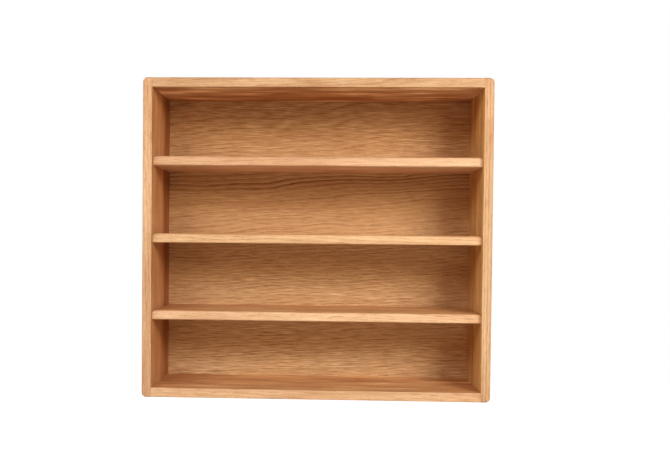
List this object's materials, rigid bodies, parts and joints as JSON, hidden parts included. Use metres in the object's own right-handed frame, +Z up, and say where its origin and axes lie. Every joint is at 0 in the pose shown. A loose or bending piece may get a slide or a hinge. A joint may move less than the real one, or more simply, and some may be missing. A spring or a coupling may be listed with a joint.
{
  "type": "cd storage cabinet",
  "caption": "Open-fronted oak cabinet with fixed level shelves, a dowelled case with rounded corners and a let-in back, for rows of disc cases.",
  "frame": {"origin": "on the surface the case stands on, below the middle of its width and depth", "axes": "+X to the viewer's right, +Y to the rear, so the open front faces -Y, +Z up"},
  "size_m": [0.7016, 0.1588, 0.6453],
  "materials": {
    "oak_board": "honey-coloured solid oak, satin lacquer",
    "oak_plywood": "oak-veneered plywood, satin lacquer",
    "dowel_wood": "bare beech, fluted",
    "screw_steel": "bright zinc-plated steel"
  },
  "bodies": {
    "root": {"side_panel_left": "oak_board", "side_panel_right": "oak_board", "top_panel": "oak_board", "bottom_panel": "oak_board", "shelf_upper": "oak_board", "shelf_middle": "oak_board", "shelf_lower": "oak_board", "back_panel": "oak_plywood", "dowels_top_left": "dowel_wood", "dowels_top_right": "dowel_wood", "dowels_bottom_left": "dowel_wood", "dowels_bottom_right": "dowel_wood", "dowels_shelf_upper_left": "dowel_wood", "dowels_shelf_upper_right": "dowel_wood", "dowels_shelf_middle_left": "dowel_wood", "dowels_shelf_middle_right": "dowel_wood", "dowels_shelf_lower_left": "dowel_wood", "dowels_shelf_lower_right": "dowel_wood", "back_screws_top": "screw_steel", "back_screws_bottom": "screw_steel", "back_screws_left": "screw_steel", "back_screws_right": "screw_steel", "back_screws_shelf_upper": "screw_steel", "back_screws_shelf_middle": "screw_steel", "back_screws_shelf_lower": "screw_steel"}
  },
  "joints": []
}
